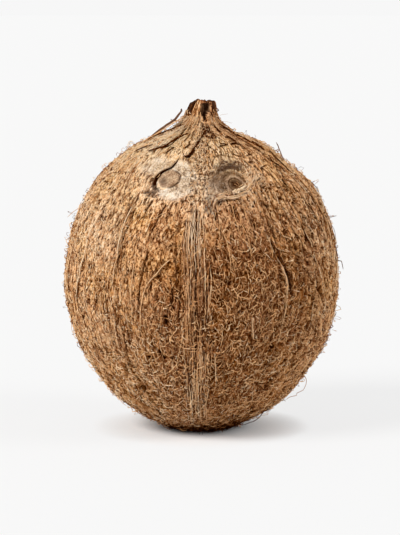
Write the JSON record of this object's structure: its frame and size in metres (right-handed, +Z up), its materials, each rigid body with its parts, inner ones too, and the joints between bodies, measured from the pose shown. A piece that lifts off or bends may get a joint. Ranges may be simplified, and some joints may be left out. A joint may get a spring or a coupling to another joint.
{
  "type": "coconut",
  "caption": "Ripe husked coconut, an egg-shaped brown nut covered in coir fibre, with round pores near its broken stem stub, resting on a small flat spot.",
  "frame": {"origin": "on the ground under the middle of the nut, inside the flat spot that it rests on", "axes": "+Z up through the stem stub, which is the long way of the nut; -Y faces the viewer, with the seam ridge between the two pores; +X to the viewer's right"},
  "size_m": [0.1118, 0.1126, 0.1388],
  "materials": {
    "husk": "matte"
  },
  "bodies": {
    "root": {"coconut": "husk"}
  },
  "joints": []
}
